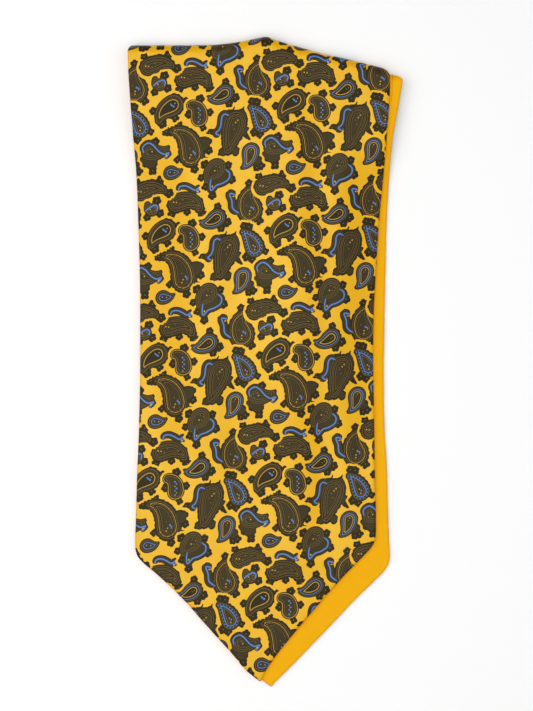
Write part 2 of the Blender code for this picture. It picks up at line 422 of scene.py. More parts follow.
# The motifs of the repeat in painting order. Places are in the chart's columns and rows, right and down, and
# sizes in millimetres. Shares of the edge, for its scallops, run from the tail's tip, with 0.5 at the head.
REPEAT = (
    # name, head right, down, tail's direction, head radius, tail length, curl, tip radius, scallops' shares
    ("cloak", 8.8, 3.6, 258, 7.6, 17.0, 0, 3.6, 0.0, 1.0),
    ("great", 4.5, 6.7, 100, 7.8, 21.5, 78, 3.0, 0.0, 1.0),
    ("hook", 10.2, 12.6, 118, 7.9, 15.5, -95, 3.0, 0.0, 1.0),
    ("arch", 3.0, 11.5, 18, 6.2, 17.5, -88, 3.0, 0.5, 1.0),
    ("fish", 11.5, 10.2, 22, 5.9, 16.0, -60, 2.2, 0.0, 0.5),
    ("golden", 2.7, 1.6, 205, 7.2, 13.0, 62, 2.8, 0.0, 0.5),
    ("beaded", 11.5, 3.8, 117, 6.2, 13.5, 30, 2.4, 0.5, 0.9),
    ("wave", 0.4, 6.2, -12, 5.8, 12.5, 62, 1.6, 0.0, 0.0),
    ("crown", 6.9, 8.2, 220, 6.8, 10.0, 50, 2.0, 0.0, 0.0),
    ("double", 7.8, 0.6, 216, 6.0, 11.0, -62, 1.8, 0.3, 0.7),
    ("ringed", 10.3, 6.6, 268, 5.9, 11.5, -62, 1.7, 0.0, 0.0),
    ("bean", 5.3, 3.0, 94, 5.7, 11.0, 80, 3.6, 0.0, 0.0),
    ("seed", 2.4, 8.4, -8, 4.7, 7.5, 50, 1.3, 0.0, 0.0),
    ("comma", 0.6, 12.0, 160, 4.7, 5.0, -60, 2.2, 0.0, 0.0),
)

# Round parts that widen a motif: place and radius
SWELLINGS = {
    "cloak": (
        (9.5, 2.9, 4.2), (9.6, 4.5, 3.8), (8.9, 4.9, 4.4), (7.5, 6.6, 2.8), (8.8, 6.5, 3.0), (9.8, 2.4, 2.4)
    ),
    "great": ((5.6, 5.7, 5.0), (6.1, 5.4, 2.6), (5.2, 6.7, 4.6)),
    "hook": ((10.4, 11.9, 5.0), (9.7, 11.8, 4.6)),
    "arch": ((4.1, 11.3, 5.2), (4.9, 11.6, 4.6)),
    "fish": ((12.5, 9.7, 4.8), (13.1, 9.8, 3.8)),
    "golden": ((1.6, 2.6, 4.0),),
    "wave": ((0.5, 7.2, 4.6), (-0.1, 7.0, 3.6)),
    "crown": ((7.6, 9.0, 4.6), (6.9, 9.2, 4.4)),
    "ringed": ((10.9, 7.6, 3.4),),
}

# Places of the buds round a motif
BUDS = {
    "cloak": ((6.3, 4.5), (8.2, 2.2), (10.1, 4.8)),
    "great": ((6.5, 6.6), (4.7, 8.4), (2.8, 7.0), (1.9, 4.4), (3.3, 3.6), (5.8, 7.3)),
    "hook": ((11.0, 11.1), (11.1, 13.6), (10.1, 9.7)),
    "arch": ((2.6, 12.9), (3.9, 12.5), (5.6, 12.9), (2.2, 10.5)),
    "fish": ((13.4, 9.0), (11.0, 8.7), (14.3, 10.7)),
    "golden": ((0.5, 1.9), (2.9, 2.9), (4.1, 1.2), (1.9, 3.5)),
    "beaded": ((10.4, 1.2), (11.1, 1.5), (12.7, 4.1), (10.5, 4.8), (11.1, 5.1)),
    "wave": ((1.2, 4.9), (-0.4, 7.5), (0.8, 8.1)),
    "crown": ((8.3, 7.7), (8.8, 9.2), (5.4, 8.9), (5.9, 7.9), (5.8, 10.2), (6.5, 10.9)),
    "double": ((7.9, -0.6), (8.8, 1.1), (8.2, 1.9)),
    "ringed": ((11.3, 8.1), (10.8, 8.4)),
    "bean": ((5.8, 0.6), (6.7, 2.4), (3.9, 2.7), (5.8, 4.0)),
    "comma": ((1.0, 11.0), (0.0, 13.0), (1.5, 12.4)),
}

# Blue line of a motif: width of the dark leaf that it lies on, then the places that it passes
BLUE_LINES = {
    "cloak": (5.6, ((8.2, 2.9), (7.8, 2.7), (7.5, 3.0), (7.4, 3.8), (7.2, 4.3), (6.9, 4.6), (7.3, 4.9))),
    "hook": (5.6, ((8.8, 10.9), (8.2, 10.8), (8.4, 11.5), (8.5, 12.3), (9.1, 12.8))),
    "arch": (
        4.8,
        ((3.2, 10.3), (3.3, 9.9), (3.8, 9.8), (4.3, 10.0), (4.8, 10.3), (5.2, 10.1), (5.1, 10.6)),
    ),
    "wave": (
        4.4,
        ((-0.2, 6.3), (-0.3, 5.7), (0.2, 5.3), (0.7, 5.5), (1.3, 6.2), (1.8, 6.5), (2.3, 6.4), (1.9, 7.0)),
    ),
    "crown": (
        4.6,
        ((7.8, 8.3), (8.2, 8.7), (8.1, 9.3), (7.5, 9.7), (6.9, 9.9), (6.4, 10.4), (6.3, 9.8), (6.4, 9.2)),
    ),
    "comma": (2.0, ((-0.1, 12.2), (0.2, 11.9), (0.8, 11.6), (1.1, 11.8), (1.0, 12.2))),
}

# Which filling a motif has, where it isn't its own
KINDS = {
    "cloak": "large", "arch": "large", "fish": "large", "hook": "great",
    "wave": "small", "crown": "small", "comma": "small",
}

# Fine lines inside a motif: distance in from its edge, width, dye, dye inside the line, points
RINGS = {
    "large": (
        (1.1, 0.2, BRONZE, LINE, 23), (2.2, 0.2, BRONZE, INK, 20),
        (3.2, 0.2, BRONZE, LINE, 17), (4.3, 0.2, BRONZE, INK, 14),
    ),
    "great": (
        (1.1, 0.2, BRONZE, LINE, 23), (2.2, 0.3, PALE, INK, 20),
        (3.2, 0.2, BRONZE, LINE, 17), (4.3, 0.2, BRONZE, INK, 14),
    ),
    "small": [(inset, 0.2, BRONZE, INK, 20) for inset in (1.2, 2.4, 3.6)],
    "golden": ((1.1, 0.22, BRONZE, INK, 34), (3.3, 0.5, PALE, LINE, 19)),
    "beaded": ((1.0, 0.2, BRONZE, INK, 30), (2.6, 0.55, BLUE, INK, 26), (3.9, 0.3, BRONZE, INK, 20)),
    "double": ((0.9, 0.2, BRONZE, INK, 30), (1.9, 0.34, BLUE, LINE, 19), (3.3, 0.5, PALE, LINE, 26)),
    "ringed": ((0.9, 0.2, BRONZE, INK, 19), (1.9, 0.5, BLUE, LINE, 30), (3.1, 0.42, PALE, INK, 26)),
    "bean": ((0.7, 0.4, PALE, INK, 34), (2.2, 0.2, BRONZE, INK, 26)),
    "seed": ((1.0, 0.24, BRONZE, INK, 24), (2.4, 0.4, BLUE, INK, 20)),
}

# Dots inside a motif: place along it and across it, size, dye
BIG_DOTS = (
    (0.0, 0.3, 0.5, PALE), (1.8, -1.0, 0.4, BRONZE), (-1.6, 1.2, 0.5, PALE), (4.2, 0.6, 0.4, BRONZE)
)
BEAN_DOTS = ((0.6, BLUE), (0.4, PALE), (0.5, BLUE))
DOTS = {
    "large": BIG_DOTS,
    "great": BIG_DOTS,
    "small": (
        (1.4, 0.5, 0.5, PALE), (-0.9, -1.3, 0.4, BRONZE), (0.2, 1.7, 0.4, BRONZE), (-1.9, 0.7, 0.4, BRONZE)
    ),
    "golden": (
        (-0.2, 0.9, 0.7, BLUE), (0.5, -0.3, 0.6, BLUE), (0.9, -1.3, 0.5, BLUE), (-1.7, -0.5, 0.4, PALE)
    ),
    "beaded": ((-0.8, 0.5, 0.5, PALE), (0.6, -0.4, 0.55, BLUE), (2.0, 0.3, 0.45, PALE)),
    "double": ((-0.8, 0.2, 0.4, BRONZE), (0.7, 0.1, 0.4, BRONZE)),
    "ringed": ((-1.0, 0.2, 0.35, PALE), (0.4, -0.5, 0.4, BRONZE)),
    "bean": [(1.4 * i - 2.28, 0.5 * (-1) ** i, *BEAN_DOTS[i % 3]) for i in range(7)],
    "seed": ((-0.2, 0.2, 0.5, BLUE), (2.6, 0.2, 0.4, PALE)),
}

SCALLOP = 0.7  # height of the scallops
PITCH = 3.2  # of the scallops on a motif
SWELLING_PITCH = 4.4
SCALLOPED_POINTS = 56
PLAIN_POINTS = 26
MOAT_POINTS = 22  # of the bare ground round a motif, and of its inner dark
LEAF_END = 0.22  # share of a dark leaf in which its end narrows
BLUE_WIDTH = 0.85
BUD_SIZES = (1.75, 1.55, 1.9, 1.65)
BUD_LOBES = {2: (-0.75, 0.75), 3: (-1.3, 0.0, 1.3)}  # angles of a bud's lobes, by their number
BUD_REACH = 1.0  # a bud sits at most this far outside its motif's edge
BUD_FREE = 5.0  # and one that is charted farther from it than this stays where it is


def spot(right, down):
    """Place in the cell of a point of the chart, whose columns lean with the weave."""
    return np.array(((right + LEAN * down) * CELL / 12, -down * CELL / ROWS))


def fillings(name, shape):
    """Coloured lines and dots inside one motif, head at the origin and tail towards +x."""
    kind = KINDS.get(name, name)
    shapes = []
    for i, (inset, width, dye, inside, count) in enumerate(RINGS[kind]):
        if inset + width <= shape[0] - 0.9:
            shapes.append((dye, drop(*shape, inset, count)))
            shapes.append((inside, drop(*shape, inset + width, count)))
        if name == "beaded" and i == 0:
            shapes += [(BLUE, disc(0.42, 6) + bead) for bead in drop(*shape, 1.9, 20)]
    shapes += [(dye, disc(size, 6) + (x, y)) for x, y, size, dye in DOTS[kind]]
    if kind == "great":
        shapes.append((BLUE, stroke(((-0.8, -1.8), (0.6, -2.4), (1.4, -1.4), (2.4, -1.8)), 0.7, 10)))
    return shapes


def counter_clockwise(points):
    """The outline with its points in that order, as the triangulation asks."""
    x, y = points[:, 0], points[:, 1]
    return points if np.dot(x, np.roll(y, -1)) > np.dot(y, np.roll(x, -1)) else points[::-1]


def bud(x, y, angle, size, lobes):
    """Round lobes side by side that point away from a motif, and the bare ground round them."""
    circles = [(1.4 * size, x - 0.6 * size * math.cos(angle), y - 0.6 * size * math.sin(angle))]
    reach = 0.85 * size
    for turn in BUD_LOBES[lobes]:
        a = angle + turn
        circles.append((0.86 * size, x + reach * math.cos(a), y + reach * math.sin(a)))
    dark = [(LINE, disc(radius, 7) + (u, v)) for radius, u, v in circles]
    bare = [(GROUND, disc(radius + CHANNEL, 6) + (u, v)) for radius, u, v in circles]
    return dark, bare


def bud_places(name, outlines):
    """Places of a motif's buds, at its edge, and the angles at which they point away from its middle."""
    parts = np.vstack(outlines)
    middle = outlines[0].mean(0)
    found = []
    for right, down in BUDS.get(name, ()):
        target = spot(right, down)
        out = (target - middle) / np.linalg.norm(target - middle)
        near = parts[np.argmin(np.linalg.norm(parts - target, axis=1))]
        apart = np.linalg.norm(target - near)
        at = target if apart > BUD_FREE else near + out * min(BUD_REACH, apart)
        found.append((at, math.atan2(out[1], out[0])))
    return found


def repeat_shapes():
    """The shapes of the repeat in painting order, in millimetres from the cell's corner, by motif."""
    groups = []
    number = 0
    for name, right, down, degrees, head, tail, bend, blunt, start, end in REPEAT:
        shape = (head, tail, bend, blunt)
        head_at = spot(right, down)
        scallops = end > start
        grow = CHANNEL + (0.5 if scallops else 0.0)
        edge = drop(*shape, 0.0, SCALLOPED_POINTS if scallops else PLAIN_POINTS)
        if scallops:
            edge = scalloped(edge, PITCH, start, end)
        bare = [(GROUND, moved(drop(*shape, -grow, MOAT_POINTS), *head_at, degrees))]
        dark = [(LINE, moved(edge, *head_at, degrees))]
        under, hearts = [], []
        for i, (right, down, size) in enumerate(SWELLINGS.get(name, ())):
            middle = spot(right, down)
            bare.append((GROUND, disc(size + grow, 14) + middle))
            dark.append((LINE, scalloped(disc(size - SCALLOP / 2, 15, i), SWELLING_PITCH) + middle))
            under.append((INK, disc(size - 0.9, 12) + middle))
        for at, angle in bud_places(name, [points for dye, points in dark]):
            lobes, around = bud(*at, angle, BUD_SIZES[number % 4], 3 if number % 5 else 2)
            dark += lobes
            bare += around
            hearts.append((BRONZE, disc(0.42, 5) + at))
            number += 1
        inner = [(INK, moved(drop(*shape, 0.5, MOAT_POINTS), *head_at, degrees))]
        inner += [(dye, moved(points, *head_at, degrees)) for dye, points in fillings(name, shape)]
        if name in BLUE_LINES:
            width, charted = BLUE_LINES[name]
            way = [spot(right, down) for right, down in charted]
            count = 4 * len(way)
            bare.append((GROUND, stroke(way, width + 2 * CHANNEL, count, LEAF_END)))
            dark.append((LINE, stroke(way, width, count, LEAF_END)))
            inner.append((INK, stroke(way, width - 1.2, count, LEAF_END)))
            inner.append((BLUE, stroke(way, BLUE_WIDTH, count)))
        shapes = bare + dark + under + inner + hearts
        groups.append([(dye, counter_clockwise(points)) for dye, points in shapes])
    return groups


TOUCHING = 1e-4  # points nearer than this are one for the triangulation


def cut(edge, lines, points, shapes=()):
    """Triangles of the plane inside an edge: points, triangles, and the dye painted last on each."""
    vertices, edges, faces = [], [], []

    def add(line):
        first = len(vertices)
        vertices.extend(Vector(p) for p in line)
        return list(range(first, first + len(line)))

    faces.append(add(edge))
    dyes = [GROUND]
    for line in lines:
        row = add(line)
        edges.extend(zip(row, row[1:]))
    add(points)
    for dye, shape in shapes:
        if (shape.max(0) < edge.min(0)).any() or (shape.min(0) > edge.max(0)).any():
            continue
        faces.append(add(shape))
        dyes.append(dye)
    made = geometry.delaunay_2d_cdt(vertices, edges, faces, 1, TOUCHING, True)
    kept = [(face[:3], dyes[max(sources)]) for face, sources in zip(made[2], made[5]) if 0 in sources]
    corners, painted = zip(*kept)
    return np.array([tuple(p) for p in made[0]]), np.array(corners), np.array(painted)


def dye_borders(points, faces, dyes):
    """The edges between two dyes and round the cell, with the points that they use."""
    ends = np.concatenate((faces[:, [0, 1]], faces[:, [1, 2]], faces[:, [2, 0]]))
    owner = np.tile(dyes, 3)
    key = np.sort(ends, axis=1)
    order = np.lexsort((key[:, 1], key[:, 0]))
    key, owner = key[order], owner[order]
    paired = np.concatenate(((key[1:] == key[:-1]).all(1), [False]))
    second = np.concatenate(([False], paired[:-1]))
    border = ~second & (~paired | (owner != np.roll(owner, -1)))
    used, index = np.unique(key[border], return_inverse=True)
    return points[used], index.reshape(-1, 2)


def inside_loop(points, loop):
    """Which points lie inside a closed outline."""
    ahead = np.roll(loop, -1, axis=0)
    x, y = points[:, 0:1], points[:, 1:2]
    rise = ahead[:, 1] - loop[:, 1] + 1e-12
    crosses = ((loop[:, 1] > y) != (ahead[:, 1] > y)) & (
        x < (ahead[:, 0] - loop[:, 0]) * (y - loop[:, 1]) / rise + loop[:, 0]
    )
    return crosses.sum(1) % 2 == 1


def piece_of_cell(cell, extra, loop=None):
    """The dyed regions of one cell in few triangles, with extra points for the form, inside an outline."""
    points, edges, tree, dyes = cell
    vertices = [Vector(p) for p in points] + [Vector(p) for p in extra]
    edges = edges.tolist()
    if loop is not None:
        first, count = len(vertices), len(loop)
        vertices += [Vector(p) for p in loop]
        edges += [(first + i, first + (i + 1) % count) for i in range(count)]
    made = geometry.delaunay_2d_cdt(vertices, edges, [], 0, TOUCHING, False)
    flat = np.array([tuple(p) for p in made[0]])
    triangles = np.array(made[2])
    middles = flat[triangles].mean(1)
    hits = [tree.ray_cast((x, y, 1.0), (0.0, 0.0, -1.0))[2] for x, y in middles.tolist()]
    inside = np.array([hit is not None for hit in hits])
    found = np.array([hit if hit is not None else 0 for hit in hits])
    if loop is not None:
        inside &= inside_loop(middles, loop)
    return flat, triangles[inside], dyes[found[inside]]


def dyed_cell(steps=32):
    """One cell of the print: points and edges of its dyed regions, and a tree that finds a place's dye."""
    shapes = []
    for group in repeat_shapes():
        for i, j in ((i, j) for i in (-1, 0, 1) for j in (-1, 0, 1)):
            shapes += [(dye, points + (i * CELL, -j * CELL)) for dye, points in group]
    side = np.linspace(0, CELL, steps + 1)[:-1]
    none, full = np.zeros(steps), np.full(steps, CELL)
    right = np.concatenate((side, full, CELL - side, none))
    up = np.concatenate((-full, side - CELL, none, -side))
    points, faces, dyes = cut(np.stack((right, up), axis=1), [], [], shapes)
    tree = bvhtree.BVHTree.FromPolygons([(x, y, 0.0) for x, y in points.tolist()], faces.tolist())
    return dye_borders(points, faces, dyes) + (tree, dyes)


PRINT_CELL = dyed_cell()


def printed(loop, lines, origin, mirrored=False, grid=7.5):
    """A piece of printed cloth in its plane, cut into dyed regions cell by cell."""
    flip = np.array((-1.0, 1.0)) if mirrored else np.array((1.0, 1.0))
    back = np.linalg.inv(LATTICE)

    def into_cells(p):
        return ((np.asarray(p, float) - origin) * flip) @ back

    loop = counter_clockwise(into_cells(loop))
    lines = [into_cells(line) for line in lines]
    steps = np.arange(grid / 2, CELL, grid)
    grid_points = np.stack(np.meshgrid(steps, steps - CELL), axis=-1).reshape(-1, 2)
    low, high = np.array((0.0, -CELL)), np.array((CELL, 0.0))
    span = np.vstack([loop] + lines) * (1, -1) / CELL
    first, last = np.floor(span.min(0)).astype(int), np.floor(span.max(0)).astype(int)
    whole = None
    all_points, all_faces, all_dyes, count = [], [], [], 0
    for i in range(first[0], last[0] + 1):
        for j in range(first[1], last[1] + 1):
            shift = np.array((i * CELL, -j * CELL))
            local = loop - shift
            rolls = np.vstack([line - shift for line in lines])
            near = np.vstack((local, rolls))
            if ((near > low - 3) & (near < high + 3)).all(1).any():
                rolls = rolls[((rolls > low + 0.05) & (rolls < high - 0.05)).all(1)]
                apart = to_edge(grid_points, local, False)
                extra = np.vstack((grid_points[apart > 2.0], rolls))
                points, faces, dyes = piece_of_cell(PRINT_CELL, extra, local)
            elif inside_loop(np.array(((CELL / 2, -CELL / 2),)), local)[0]:
                whole = whole or piece_of_cell(PRINT_CELL, grid_points)
                points, faces, dyes = whole
            else:
                continue
            if not len(faces):
                continue
            all_points.append(points + shift)
            all_faces.append(faces + count)
            all_dyes.append(dyes)
            count += len(points)
    points, faces, dyes = np.vstack(all_points), np.vstack(all_faces), np.concatenate(all_dyes)
    return welded((points @ LATTICE) * flip + origin, faces[:, ::-1] if mirrored else faces, dyes)


def welded(points, faces, dyes, within=0.004):
    """Points nearer than this made one, unused ones left out."""
    tree = kdtree.KDTree(len(points))
    places = [(x, y, 0.0) for x, y in points.tolist()]
    for i, at in enumerate(places):
        tree.insert(at, i)
    tree.balance()
    same = np.array([min(hit[1] for hit in tree.find_range(at, within)) for at in places])
    faces = same[same[faces]]
    whole = (faces[:, 0] != faces[:, 1]) & (faces[:, 1] != faces[:, 2]) & (faces[:, 0] != faces[:, 2])
    faces, dyes = faces[whole], dyes[whole]
    used, index = np.unique(faces, return_inverse=True)
    faces = index.reshape(faces.shape)
    gaps = small_gaps(faces, len(used))
    return points[used], np.vstack((faces, gaps)), np.concatenate((dyes, np.full(len(gaps), LINE)))


def small_gaps(faces, count):
    """Triangles for the holes of three edges that very thin slivers leave."""
    rim = rim_of(faces, count).tolist()
    ahead = {}
    for i, j in rim:
        ahead.setdefault(i, []).append(j)
    found = set()
    for i, j in rim:
        for k in ahead.get(j, []):
            if i in ahead.get(k, []) and i == min(i, j, k):
                found.add((j, i, k))
    return np.array(sorted(found), int).reshape(-1, 3)


def grid_over(loop, grid):
    """Points a grid apart over the box of an outline."""
    low, high = loop.min(0), loop.max(0)
    across, up = np.arange(low[0] + 1, high[0], grid), np.arange(low[1] + 1, high[1], grid)
    return np.stack(np.meshgrid(across, up), axis=-1).reshape(-1, 2)


def plain(loop, lines, grid=6.0):
    """A piece of plain cloth in its plane."""
    loop = counter_clockwise(loop)
    return welded(*cut(loop, lines, grid_over(loop, grid)))


# Shells of the blades

SILK = 0.4  # thickness of a silk shell
ROLL = 1.7  # width over which a blade's edge rolls round to its seam

# Soft troughs along the front blade: middle, half width, depth, first and last row, slope
CREASES = (
    (-18.0, 13.0, 0.55, -150.0, 175.0, 0.015),
    (36.0, 15.0, 0.6, -135.0, 190.0, -0.02),
    (-66.0, 9.0, 0.25, -110.0, 150.0, 0.01),
    (62.0, 9.0, 0.22, -90.0, 165.0, 0.0),
)

# The slight unevenness of pressed silk: wavelength across, wavelength along, phase, height
WAVES = (
    (31.0, 190.0, 0.4, 0.10),
    (47.0, 120.0, 2.1, 0.12),
    (23.0, 260.0, 4.4, 0.06),
    (71.0, 83.0, 1.2, 0.08),
)


def unevenness(x, v):
    """Height that the troughs and waves add to the front blade."""
    total = 0.0
    for middle, half_width, depth, start, end, slope in CREASES:
        across = 1 - smooth(np.abs(x - middle - slope * v) / half_width)
        total = total - depth * across * smooth((v - start) / 60.0) * smooth((end - v) / 60.0)
    for across, along, phase, height in WAVES:
        total = total + height * (1 + np.sin(2 * np.pi * (x / across + v / along) + phase)) / 2
    return total


def shown(name, data):
    """New object of the scene."""
    thing = bpy.data.objects.new(name, data)
    bpy.context.scene.collection.objects.link(thing)
    return thing


def put(node, values):
    """Give a shader node its values by the names of its sockets."""
    for socket, value in values.items():
        node.inputs[socket].default_value = value


def rim_of(faces, count):
    """Edges that only one face has, as that face runs along them."""
    ends = np.concatenate((faces[:, [0, 1]], faces[:, [1, 2]], faces[:, [2, 0]]))
    return ends[~np.isin(ends[:, 0] * count + ends[:, 1], ends[:, 1] * count + ends[:, 0])]


def closed_shell(name, sheet_data, surface, up, materials, silk_slot, grid=8.0):
    """Closed shell from a cut plane: its dyed outer face, a coarser inner face and a rim between them."""
    points, faces, dyes = sheet_data
    rim = rim_of(faces, len(points))
    after = dict(zip(rim[:, 0].tolist(), rim[:, 1].tolist()))
    order = [int(rim[0, 0])]
    while after[order[-1]] != order[0]:
        order.append(after[order[-1]])
    loop = points[order]
    inner_points, inner_faces, inner_dyes = cut(loop, [], grid_over(loop, grid))
    used, index = np.unique(inner_faces, return_inverse=True)
    inner_points, inner_faces = inner_points[used], index.reshape(inner_faces.shape)
    count = len(points)
    apart = np.linalg.norm(loop[:, None, :] - inner_points[None, :, :], axis=2)
    match = dict(zip(order, (apart.argmin(1) + count).tolist()))
    sides = []
    for i, j in rim.tolist():
        sides += [(j, i, match[i]), (j, match[i], match[j])]
    triangles = np.vstack((faces, inner_faces[:, ::-1] + count, np.array(sides)))
    if not up:
        triangles = triangles[:, ::-1]
    colour = np.concatenate((dyes, inner_dyes, np.zeros(len(sides), int)))
    vertices = np.vstack((surface(points, True), surface(inner_points, False)))
    return build_mesh(name, vertices, triangles, colour, materials, silk_slot)


def build_mesh(name, vertices, triangles, colour, materials, silk_slot):
    """Piece from millimetre points and triangles, each with its place in the list of materials."""
    mesh = bpy.data.meshes.new(name)
    mesh.vertices.add(len(vertices))
    mesh.vertices.foreach_set("co", ((vertices - FOOTPRINT_MIDDLE) * MM).ravel())
    mesh.loops.add(triangles.size)
    mesh.loops.foreach_set("vertex_index", triangles.ravel())
    mesh.polygons.add(len(triangles))
    mesh.polygons.foreach_set("loop_start", np.arange(0, triangles.size, 3))
    mesh.polygons.foreach_set("material_index", colour)
    mesh.polygons.foreach_set("use_smooth", np.ones(len(triangles), bool))
    mesh.update(calc_edges=True)
    for material in materials:
        mesh.materials.append(material)
    piece = shown(name, mesh)
    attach(piece, "root")
    return piece


def blade_shell(name, blade, up, sheet_data, loop, materials, silk_slot):
    """One ply of a blade: its outer face rolls round to the seam at the blade's edge."""

    def surface(points, outside):
        x, v = points[:, 0], points[:, 1]
        row = cloth_row(x, v)
        middle = lift(x, row) + PLY + GAP / 2
        if blade == "front":
            calm = smooth((row + 195.0) / 40.0) * smooth((200.0 - row) / 25.0)
            middle = middle + 2 * STEP + ridge(x, row) + unevenness(x, v) * calm
        inside = np.minimum(to_edge(points, loop) / ROLL, 1.0)
        full = PAIR / 2 * np.sqrt(1 - (1 - inside) ** 2)
        reach = full + 0.02 if outside else np.maximum(full - SILK, 0.005)
        return wrap(x, v, middle + (reach if up else -reach))

    return closed_shell(name, sheet_data, surface, up, materials, silk_slot)


# The folded neckband and the stitches

LAYERS = 4
NECK_FLOOR = 0.55  # the printed lowest layer fills the space below this height
GROOVE = 1.4  # depth of the grooves between the layers
PLEATS = 7
PLEAT_DEPTH = 0.45
STITCHES = 11
STITCH_ENDS = ((80.0, 165.5), (80.6, 183.0))
STITCH_LENGTH = 1.1
STITCH_WIDTH = 0.3


def neck_y(x, row):
    """World y of the neckband's rows, which follow the seam at their top."""
    return row + (seam(x) - NECK_ROW) * float(slant(row))


def neck_loop(step=3.0):
    """World outline of the folded neckband."""
    rows = np.arange(NECK_END, NECK_ROW + 0.1, step)
    sides = []
    for column in (1, 2):
        edge = [float(curve(NECK_ROWS, column, row)) for row in rows]
        sides.append([(x, neck_y(x, row)) for x, row in zip(edge, rows)])
    left, right = sides
    nose = [(x, neck_y(x, NECK_END)) for x in np.linspace(right[0][0], left[0][0], 24)[1:-1]]
    top = [(x, neck_y(x, NECK_ROW)) for x in np.linspace(left[-1][0], right[-1][0], 60)[1:-1]]
    return np.array(left + top + right[::-1] + nose)


def layered_side(sign, edge, shift):
    """One side of a section of the neckband, from below: each layer's round edge and the groove over it."""
    points = []
    pitch = (NECK_THICK - NECK_FLOOR) / LAYERS
    thick = pitch - 0.12
    for layer in range(LAYERS):
        out = edge + (shift if layer > 1 else 0.0)
        low = NECK_FLOOR + layer * pitch
        for inset, up in ((0.45, 0.0), (0.12, 0.18), (0.0, 0.5), (0.12, 0.82), (0.45, 1.0)):
            points.append((out - sign * inset, low + thick * up))
        if layer < LAYERS - 1:
            points.append((out - sign * GROOVE, low + thick + 0.06))
    return points


def neck_rings():
    """Sections of the neckband above its printed lowest layer, squashed to a round end at its fold."""
    half = NECK_THICK / 2
    rows = []
    for degrees in (10, 30, 50, 70, 90):
        angle = math.radians(degrees)
        rows.append((NECK_END + half * (1 - math.cos(angle)), math.sin(angle)))
    rows += [(row, 1.0) for row in list(np.arange(26.0, NECK_ROW, 4.0)) + [NECK_ROW]]
    rings = []
    for row, squash in rows:
        left, right, shift = (float(curve(NECK_ROWS, column, row)) for column in (1, 2, 3))
        narrow = 0.25 + half * (1 - squash)
        left, right = left + narrow, right - narrow
        bottom = [(x, NECK_FLOOR) for x in np.linspace(left, right, 11)[1:-1]]
        top = [(x, NECK_THICK) for x in np.linspace(right + shift, left + shift, 11)[1:-1]]
        ring = bottom + layered_side(1.0, right, shift) + top + layered_side(-1.0, left, shift)[::-1]
        rings.append([(x, neck_y(x, row), half + (z - half) * squash) for x, z in ring])
    return rings


def pleats(x, row):
    """Small saw-toothed relief of the pleats that narrow the neckband below its seam."""
    left, right = curve(NECK_ROWS, 1, row), curve(NECK_ROWS, 2, row)
    share = np.clip((x - left) / (right - left), 0.0, 1.0)
    tooth = (share * PLEATS) % 1.0
    calm = smooth(share / 0.04) * smooth((1 - share) / 0.04)
    return PLEAT_DEPTH * tooth**2 * smooth((NECK_ROW - 12.0 - row) / 50.0) * calm


def neck_shell(name, materials, silk_slot):
    """Lowest layer of the folded neckband, whose print runs on from the front blade's."""
    outline_points = neck_loop()
    x, y = outline_points[:, 0], outline_points[:, 1]
    loop = np.stack((x, behind(x, y)), axis=1)
    rolls = inset_loops(counter_clockwise(loop), (0.3, 0.9))

    def surface(points, outside):
        x, v = points[:, 0], points[:, 1]
        y = behind(x, v)
        row = y - (seam(x) - NECK_ROW) * slant(y)
        inside = np.minimum(to_edge(points, loop, False) / 0.9, 1.0)
        rise = 0.26 * (1 - np.sqrt(1 - (1 - inside) ** 2))
        low = 0.02 + pleats(x, row)
        return np.stack((x, y, low + rise if outside else low + 0.5 - rise), axis=-1)

    sheet_data = printed(loop, rolls, CELL_ORIGIN)
    return closed_shell(name, sheet_data, surface, False, materials, silk_slot)


def closed_mesh(name, vertices, triangles, materials, silk_slot):
    """Piece of one material from a closed shape, its faces turned outward."""
    vertices, triangles = np.array(vertices), np.array(triangles)
    if np.linalg.det(vertices[triangles]).sum() < 0:
        triangles = triangles[:, ::-1]
    return build_mesh(name, vertices, triangles, np.zeros(len(triangles), int), materials, silk_slot)


def through(rings, first=0):
    """Closed shape through sections of as many points each: points, and triangles numbered from first."""
    size = len(rings[0])
    last = first + (len(rings) - 1) * size
    triangles = []
    for start in range(first, last, size):
        for i in range(size):
            a, b = start + i, start + (i + 1) % size
            triangles += [(a, b, b + size), (a, b + size, a + size)]
    for i in range(1, size - 1):
        triangles += [(first, first + i + 1, first + i), (last, last + i, last + i + 1)]
    return [p for ring in rings for p in ring], triangles


def stitch_row():
    """Short stitches that close the lining at the rear blade's top corner: their points and triangles."""
    vertices, triangles = [], []
    around = np.linspace(0, 2 * np.pi, 6, endpoint=False)
    (x0, y0), (x1, y1) = STITCH_ENDS
    for i in range(STITCHES):
        share = (i + 0.5) / STITCHES
        x, y = x0 + (x1 - x0) * share, y0 + (y1 - y0) * share
        top = float(lift(x, row_of(x, y))) + STEP + PLY + 0.02
        rings = []
        for along in np.linspace(-1, 1, 5):
            thick = STITCH_WIDTH / 2 * math.sqrt(1.04 - along**2)
            at, middle = y + along * STITCH_LENGTH / 2, top + 0.1 * (1 - along**2)
            rings.append([(x + thick * math.cos(a), at, middle + 0.6 * thick * math.sin(a)) for a in around])
        points, faces = through(rings, len(vertices))
        vertices += points
        triangles += faces
    return vertices, triangles


# Finishes

TINT = (1.0, 1.0, 0.42, 1.0)  # colour of the silk's lustre

PRINT_WEAVE = (900.0, 45.0, 0.03)  # scale of the weave, its turn in degrees, its depth in millimetres

